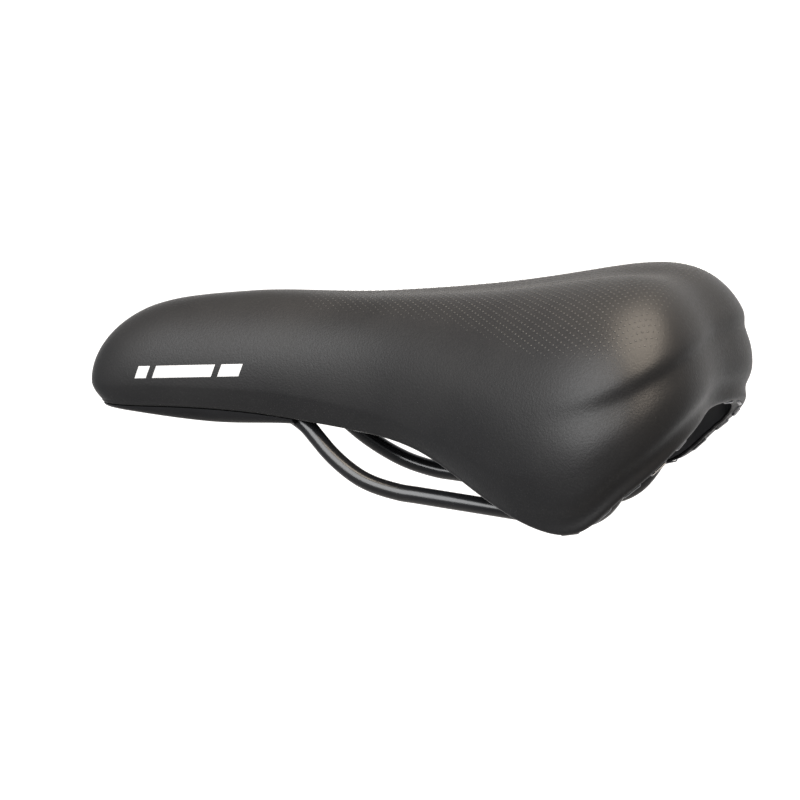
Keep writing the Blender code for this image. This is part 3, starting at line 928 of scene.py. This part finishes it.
def from_above(tree, x, y):
    """Height and surface normal of the cover under a point, or None beside it."""
    spot, normal, _, _ = tree.ray_cast(Vector((x, y, 130.0)) * MM, Vector((0.0, 0.0, -1.0)))
    return None if spot is None else (spot, normal)


def dot_row_places(tree, y):
    """Distances from the middle at which rows of studs lie, one row pitch apart along the surface."""
    places = [0.0]
    heights = [from_above(tree, 0.0, y)[0].z / MM]
    lengths = [0.0]
    while True:
        hit = from_above(tree, places[-1] + 1.0, y)
        if hit is None:
            break
        heights.append(hit[0].z / MM)
        places.append(places[-1] + 1.0)
        lengths.append(lengths[-1] + math.hypot(1.0, heights[-1] - heights[-2]))
        if heights[-2] - heights[-1] > 3.0:
            break
    count = int(lengths[-1] / DOT_ROW)
    return [float(np.interp(i * DOT_ROW, lengths, places)) for i in range(count + 1)]


def make_dots(tree, material):
    """Small raised studs in staggered rows over the seat, shrinking to nothing at its edge."""
    shape = bmesh.new()
    for half_step in DOT_STEPS:
        y = half_step * DOT_PITCH * 0.5
        for i, x in enumerate(dot_row_places(tree, y)):
            if (i + half_step) % 2:
                continue
            for side in (1.0, -1.0) if i else (1.0,):
                spot, normal = from_above(tree, side * x, y) or (None, None)
                if spot is None:
                    continue
                size = ease(*DOT_EDGE_FADE, spot.z / MM - graph(SEAT_LINE, y)) * ease(*DOT_NOSE_FADE, y)
                size *= 1.0 - ease(*DOT_TAIL_FADE, normal.y)
                if size > SMALLEST_DOT:
                    radius = DOT_RADIUS * (0.6 + 0.4 * size)
                    add_dome(shape, spot, normal, radius * MM, DOT_HEIGHT * size * MM)
    dots = add_object("cover_studs", finished_mesh("cover_studs", shape), material)
    return declare(dots, "cover_leather")


def make_print(tree, material):
    """Plain slanted bars on both sides of the nose, laid on the cover."""
    shape = bmesh.new()
    for side in (1.0, -1.0):
        for start, end in PRINT_BARS:
            steps = max(6, round((end - start) * 0.8))
            previous = None
            for step in range(steps + 1):
                y = start + (end - start) * step / steps
                column = []
                for share in (0.0, 0.2, 0.4, 0.6, 0.8, 1.0):
                    z = PRINT_LOW + (PRINT_HIGH - PRINT_LOW) * share
                    origin = Vector((side * 60.0, y + PRINT_SLANT * share, z)) * MM
                    spot, normal, _, _ = tree.ray_cast(origin, Vector((-side, 0.0, 0.0)))
                    column.append(shape.verts.new(spot + normal * PRINT_LIFT * MM))
                if previous:
                    for k in range(len(column) - 1):
                        corners = (previous[k], column[k], column[k + 1], previous[k + 1])
                        shape.faces.new(corners if side > 0 else corners[::-1])
                previous = column
    marks = add_object("nose_print", finished_mesh("nose_print", shape), material)
    return declare(marks, "cover_leather")


def make_foam(points, material):
    """Moulded pad between the cover's inner face and the shell's dome."""
    inner = on_the_middle(points - grid_normals(points) * (COVER_THICKNESS + FOAM_GAP))
    inner = inner[::FOAM_COLUMN_STEP, :CROWN_ROWS + SIDE_ROWS + 1]
    places = ring_places(FINE_STEPS)[::FOAM_COLUMN_STEP]
    columns = []
    for outer, place in zip(inner, places):
        row = station(place)
        bottom = flange_levels(row)[1] + FOAM_GAP
        kept = [point for point in outer[::2] if point[2] > bottom + 1.0]
        last = Vector(kept[-1])
        drop = Vector((0.0, 0.0, bottom - last.z))
        steps = len(outer[::2]) - len(kept) + 1
        foot = [last + drop * ((s + 1) / steps) for s in range(steps)]
        arch = [ring_point(row, a, z) for a, z in reversed(arch_profile(row, -FOAM_GAP, bottom))]
        columns.append([tuple(p) for p in (*kept, *foot, *arch)])
    foam = half_sheet("foam_body", on_the_middle(np.array(columns)), material)
    declare(foam, "foam", "foam_pad")
    return foam


# ---- rails -------------------------------------------------------------------
def rail_keys(side):
    slope = math.tan(math.radians(RAIL_TILT))
    half = CLAMP_ZONE_LENGTH * 0.5
    inner = half - 7.0
    straight = [(RAIL_SPACING * 0.5, y, -slope * y) for y in (-half, -inner, inner, half)]
    return [Vector((x * side, y, z)) for x, y, z in (*RAIL_FRONT, *straight, *RAIL_REAR)]


def smooth_route(keys, steps):
    """Curve through the keys, with each key's direction taken from its neighbours."""
    route = []
    for k in range(len(keys) - 1):
        a, b = keys[k], keys[k + 1]
        span = (b - a).length
        leaving = (b - keys[k - 1]).normalized() * span if k > 0 else b - a
        arriving = (keys[k + 2] - a).normalized() * span if k + 2 < len(keys) else b - a
        for s in range(steps):
            u = s / steps
            start = 2.0 * u ** 3 - 3.0 * u ** 2 + 1.0
            route.append(
                a * start + b * (1.0 - start)
                + leaving * (u ** 3 - 2.0 * u ** 2 + u) + arriving * (u ** 3 - u ** 2)
            )
    route.append(keys[-1])
    return route


def make_rails(material):
    for name, side in (("rail_left", 1.0), ("rail_right", -1.0)):
        route = smooth_route(rail_keys(side), 6)
        wire = tube_mesh(name + "_wire", route, lambda share: RAIL_DIAMETER * 0.5, 28)
        declare(add_object(name + "_wire", wire, material), "rail_steel", name)


# ---- base shell --------------------------------------------------------------
def make_shell(material):
    """Dome with flange, nose block, rear sockets and ribs, joined into one moulding."""
    shell = half_sheet("shell_moulding", layer_points(shell_profile, SHELL_STEPS), material)
    core = half_sheet("shell_core", layer_points(core_profile, 2))
    band = half_sheet("rib_band", layer_points(rib_band_profile, 2))
    low, high = zip(NOSE_BLOCK["x"], NOSE_BLOCK["y"], NOSE_BLOCK["z"])
    block = box_bmesh(low, high)
    bmesh.ops.bevel(block, geom=block.edges[:], offset=1.2 * MM, segments=3, affect="EDGES")
    adds = [(add_object("nose_block", finished_mesh("nose_block", block)), core)]
    for side in (1.0, -1.0):
        adds.append((make_socket(side), core))
    half = RIB_WIDTH * 0.5
    keel = box_bmesh((-half, KEEL_RANGE[0], -40.0), (half, KEEL_RANGE[1], 90.0))
    adds.append((add_object("keel_rib", finished_mesh("keel_rib", keel)), band))
    for y in RIB_ROWS:
        rib = box_bmesh((-60.0, y - half, -40.0), (60.0, y + half, 90.0))
        adds.append((add_object("cross_rib", finished_mesh("cross_rib", rib)), band))
    for tool, limit in adds:
        boolean(tool, limit, "INTERSECT")
        boolean(shell, tool, "UNION")
    apply_modifiers(shell)
    scrap(core, band, *[tool for tool, _ in adds])
    shell.data.shade_smooth()
    shell.data.set_sharp_from_angle(angle=math.radians(32.0))
    return declare(shell, "shell_plastic", "base_shell")


def make_socket(side):
    """Tapered boss round a rail's rear end, with a rounded mouth."""
    keys = rail_keys(side)
    direction = (keys[-1] - keys[-3]).normalized()
    mouth = keys[-1] - direction * SOCKET_GRIP
    shares = (0.0, 0.01, 0.025, 0.05, 1.0)
    insets = (1.5, 0.7, 0.2, 0.0, 0.0)
    route = [mouth + direction * SOCKET_LENGTH * share for share in shares]

    def radius(share):
        step = round(share * (len(shares) - 1))
        growth = (SOCKET_ROOT_RADIUS - SOCKET_MOUTH_RADIUS) * shares[step]
        return SOCKET_MOUTH_RADIUS + growth - insets[step]

    return add_object("socket", tube_mesh("socket", route, radius, 32))


# ---- nose tray ---------------------------------------------------------------
def belly(row, across):
    """Height of the tray's underside at the point's own y, eased over its corners."""
    y = ring_point(row, across, 0.0).y
    places, heights = zip(*TRAY_BELLY)
    return float(np.mean([np.interp(y + shift, places, heights) for shift in (-8.0, -4.0, 0.0, 4.0, 8.0)]))


def tray_profile(row, place):
    """Down the tray's side, round its corner and along its floor, which ends in a mouth for the rails."""
    rim = reach(row) - row.tuck - TRAY_SETBACK
    top = row.edge - TRAY_TOP_GAP
    opened = min(max((row.y - TRAY_MOUTH_START) / TRAY_MOUTH_LENGTH, 0.0), 1.0)
    lip = rim - TRAY_CORNER + 1.4 * opened
    inner = (lip - 0.8) * math.sqrt(opened)
    points = []
    for degrees in range(0, 91, 10):
        angle = math.radians(degrees)
        across = lip + (rim - lip) * math.cos(angle)
        points.append((across, top - (top - belly(row, across)) * math.sin(angle)))
    for share in (0.2, 0.4, 0.6, 0.8, 1.0):
        across = lip + (inner - lip) * share
        points.append((across, belly(row, across)))
    return points


def tray_floor(y):
    """Height of the tray's lower face on the middle plane."""
    return belly(Station(1.0, y, y, 0.0, 0.0, 0.0, 0.0, 0.0, 2.0), 0.0)


def make_tray(material):
    tray = half_sheet("nose_tray_moulding", layer_points(tray_profile, FINE_STEPS, TRAY_END), material)
    solidify(tray, TRAY_WALL)
    holes = []
    for y in NOSE_SCREWS.values():
        floor = Vector((0.0, y, tray_floor(y)))
        shape = bmesh.new()
        bmesh.ops.create_cone(
            shape,
            cap_ends=True,
            segments=36,
            radius1=(SCREW_HEAD_DIAMETER * 0.5 + 0.9) * MM,
            radius2=(SCREW_HEAD_DIAMETER * 0.5 + 0.2) * MM,
            depth=6.0 * MM,
            matrix=Matrix.Translation(floor * MM),
        )
        hole = add_object("screw_hole", finished_mesh("screw_hole", shape))
        boolean(tray, hole, "DIFFERENCE")
        holes.append(hole)
    apply_modifiers(tray)
    scrap(*holes)
    tray.data.set_sharp_from_angle(angle=math.radians(35.0))
    return declare(tray, "shell_plastic", "nose_tray")


# ---- fasteners ---------------------------------------------------------------
def make_screws(material):
    """Pan-head screws with a cross recess, heads down in the tray."""
    for name, y in NOSE_SCREWS.items():
        seat = tray_floor(y) - 0.4
        head = SCREW_HEAD_DIAMETER * 0.5
        profile = [
            (head * math.sin(a), seat + SCREW_DOME * (1.0 - math.cos(a)))
            for a in np.radians(range(0, 91, 10))
        ]
        profile += [(head, seat + 2.0), (SCREW_SHANK_RADIUS, seat + 2.4)]
        profile += [(SCREW_SHANK_RADIUS, seat + 13.0), (1.0, seat + 14.6), (0.0, seat + 14.6)]
        shape = bmesh.new()
        verts = [shape.verts.new(Vector((r, y, z)) * MM) for r, z in profile]
        edges = [shape.edges.new(pair) for pair in zip(verts, verts[1:])]
        bmesh.ops.spin(
            shape,
            geom=verts + edges,
            cent=Vector((0.0, y, 0.0)) * MM,
            axis=(0.0, 0.0, 1.0),
            angle=2.0 * math.pi,
            steps=32,
            use_merge=True,
        )
        bmesh.ops.remove_doubles(shape, verts=shape.verts, dist=0.00001)
        bmesh.ops.recalc_face_normals(shape, faces=shape.faces)
        screw = add_object(name + "_detailed", finished_mesh(name + "_detailed", shape, 40.0), material)
        slots = []
        for long_x, long_y in ((2.0, 0.42), (0.42, 2.0)):
            slot = box_bmesh((-long_x, y - long_y, seat - 2.0), (long_x, y + long_y, seat + 1.3))
            slots.append(add_object("cross_slot", finished_mesh("cross_slot", slot)))
            boolean(screw, slots[-1], "DIFFERENCE")
        apply_modifiers(screw)
        scrap(*slots)
        screw.data.set_sharp_from_angle(angle=math.radians(40.0))
        declare(screw, "zinc_steel", name)


def staple_frame(place, side):
    """Origin under the hem, direction along it, and up through it."""
    row = station(place)
    ahead = station(min(place + 0.15, TAIL))
    behind = station(place - 0.15)

    def under(r):
        return ring_point(r, reach(r) - r.tuck - r.hem * 0.6, r.edge)

    origin = under(row)
    along = (under(ahead) - under(behind)).normalized()
    inward = ring_point(row, reach(row) - row.tuck - row.hem, row.edge) - origin
    up = along.cross(inward)
    if up.z < 0.0:
        up = -up
    up.normalize()
    inward = up.cross(along).normalized()
    basis = Matrix((along, inward, up)).transposed()
    place_of = Matrix.Translation(origin * MM) @ basis.to_4x4()
    if side < 0:
        place_of = Matrix.Diagonal((-1.0, 1.0, 1.0, 1.0)) @ place_of @ Matrix.Diagonal((1.0, -1.0, 1.0, 1.0))
    return place_of


def staple_mesh(material):
    """U of flat wire with rounded bends: a flat section swept along the crown and both legs."""
    half = STAPLE_CROWN * 0.5
    bend = 0.7
    low = -0.12 - STAPLE_THICKNESS * 0.5
    tip = low + STAPLE_LEG
    path = [(-half, tip), (-half, low + bend)]
    for a in np.radians((30.0, 60.0, 90.0)):
        path.append((-half + bend * (1.0 - math.cos(a)), low + bend * (1.0 - math.sin(a))))
    for a in np.radians((0.0, 30.0, 60.0)):
        path.append((half - bend * (1.0 - math.sin(a)), low + bend * (1.0 - math.cos(a))))
    path += [(half, low + bend), (half, tip)]
    shape = bmesh.new()
    rings = []
    for index, (x, z) in enumerate(path):
        before, after = path[max(index - 1, 0)], path[min(index + 1, len(path) - 1)]
        along = Vector((after[0] - before[0], 0.0, after[1] - before[1])).normalized()
        outward = along.cross(Vector((0.0, 1.0, 0.0)))
        ring = []
        for step in range(12):
            angle = 2.0 * math.pi * step / 12
            wide = math.copysign(abs(math.cos(angle)) ** 0.6, math.cos(angle)) * STAPLE_WIRE * 0.5
            thick = math.copysign(abs(math.sin(angle)) ** 0.6, math.sin(angle)) * STAPLE_THICKNESS * 0.5
            ring.append(shape.verts.new((Vector((x, wide, z)) + outward * thick) * MM))
        rings.append(ring)
    skin_rings(shape, rings)
    mesh = finished_mesh("staple_wire", shape, 50.0)
    mesh.materials.append(material)
    return mesh


def make_staples(material):
    mesh = staple_mesh(material)
    first, last = STAPLE_RANGE
    for side, side_name in ((1, "left"), (-1, "right")):
        for number in range(1, STAPLES_PER_SIDE + 1):
            place = first + (last - first) * (number - 1) / (STAPLES_PER_SIDE - 1)
            staple = add_object(f"staple_{side_name}_{number:02d}", mesh)
            staple.matrix_world = staple_frame(place, side)
            declare(staple, "zinc_steel", f"hem_staple_{side_name}_{number:02d}")


# ---- camera, lights and floor ------------------------------------------------
def direction(azimuth, elevation):
    """Unit vector from the saddle, azimuth from +X towards +Y."""
    a, e = math.radians(azimuth), math.radians(elevation)
    return Vector((math.cos(a) * math.cos(e), math.sin(a) * math.cos(e), math.sin(e)))


def add_camera():
    low, high = (Vector(corner) for corner in CAD_BOX)
    target = (low + high) * 0.5
    data = bpy.data.cameras.new("camera")
    data.lens = CAMERA_LENS
    data.sensor_width = 36.0
    camera = bpy.data.objects.new("camera", data)
    bpy.context.scene.collection.objects.link(camera)
    camera.location = direction(CAMERA_AZIMUTH, CAMERA_ELEVATION) * CAMERA_DISTANCE
    look = (target - camera.location).to_track_quat("-Z", "Y").to_matrix().to_4x4()
    roll = Matrix.Rotation(math.radians(-CAMERA_ROLL), 4, "Z")
    camera.matrix_world = Matrix.Translation(camera.location) @ look @ roll
    bpy.context.scene.camera = camera


def add_light(name, location, size, power, colour):
    data = bpy.data.lights.new(name, "AREA")
    data.shape = "DISK"
    data.size = size
    data.energy = power
    data.color = colour
    light = bpy.data.objects.new(name, data)
    bpy.context.scene.collection.objects.link(light)
    light.location = location
    light.rotation_euler = (-light.location).to_track_quat("-Z", "Y").to_euler()


def stage_plane(name, size, location, material):
    bpy.ops.mesh.primitive_plane_add(size=size, location=location)
    plane = bpy.context.object
    plane.name = name
    plane.data.materials.append(material)
    return plane


def add_floor():
    """Pale studio floor well below the saddle, and a lit white backdrop behind it."""
    ground = CAD_BOX[0][2] - FLOOR_DROP
    n = Nodes("floor_pale")
    n.tint(n.noise(0.4, 2.0), (0.3, (0.74, 0.74, 0.745)), (0.7, (0.77, 0.77, 0.772)))
    n.fixed(Roughness=0.9)
    stage_plane("floor", FLOOR_SIZE, (0.0, 0.0, ground), n.material)
    n = Nodes("backdrop_lit")
    n.tint(n.noise(0.5, 2.0), (0.3, (0.90, 0.90, 0.905)), (0.7, (0.93, 0.93, 0.932)))
    n.fixed(Roughness=0.9, Emission_Color=(1.0, 1.0, 1.0, 1.0), Emission_Strength=0.50)
    away = direction(CAMERA_AZIMUTH, 0.0) * -BACKDROP_AWAY
    middle = (away.x, away.y, ground + BACKDROP_SCALE[1] * 0.5)
    backdrop = stage_plane("backdrop", 1.0, middle, n.material)
    backdrop.scale = BACKDROP_SCALE
    backdrop.rotation_euler = (math.radians(90.0), 0.0, math.radians(90.0 + CAMERA_AZIMUTH))


def add_sky():
    """Dim, even room light."""
    world = bpy.data.worlds.new("studio")
    world.use_nodes = True
    background = world.node_tree.nodes["Background"]
    background.inputs["Color"].default_value = SKY
    background.inputs["Strength"].default_value = SKY_STRENGTH
    bpy.context.scene.world = world
    bpy.context.scene.view_settings.view_transform = "Standard"


def add_lights():
    """A soft key from the nose's side and a warm light above the tail; powers in watts."""
    add_light("key", direction(-22.0, 32.0) * 0.85, size=0.75, power=14.5, colour=(0.98, 0.99, 1.0))
    add_light("top_warm", direction(66.0, 62.0) * 0.8, size=1.0, power=33.0, colour=(1.0, 0.87, 0.72))


# ---- the whole saddle --------------------------------------------------------
def build():
    add_camera()
    add_floor()
    add_sky()
    add_lights()
    points, bare = make_cover(leather_material())
    make_dots(bare, dot_material())
    make_print(bare, print_material())
    make_foam(points, foam_material())
    make_rails(paint_material())
    plastic = plastic_material("shell_plastic", (0.012, 0.012, 0.013), 0.36, 0.46)
    make_shell(plastic)
    make_tray(plastic_material("tray_plastic", (0.0055, 0.0055, 0.006), 0.30, 0.40, 0.18))
    zinc = zinc_material()
    make_screws(zinc)
    make_staples(zinc)


build()
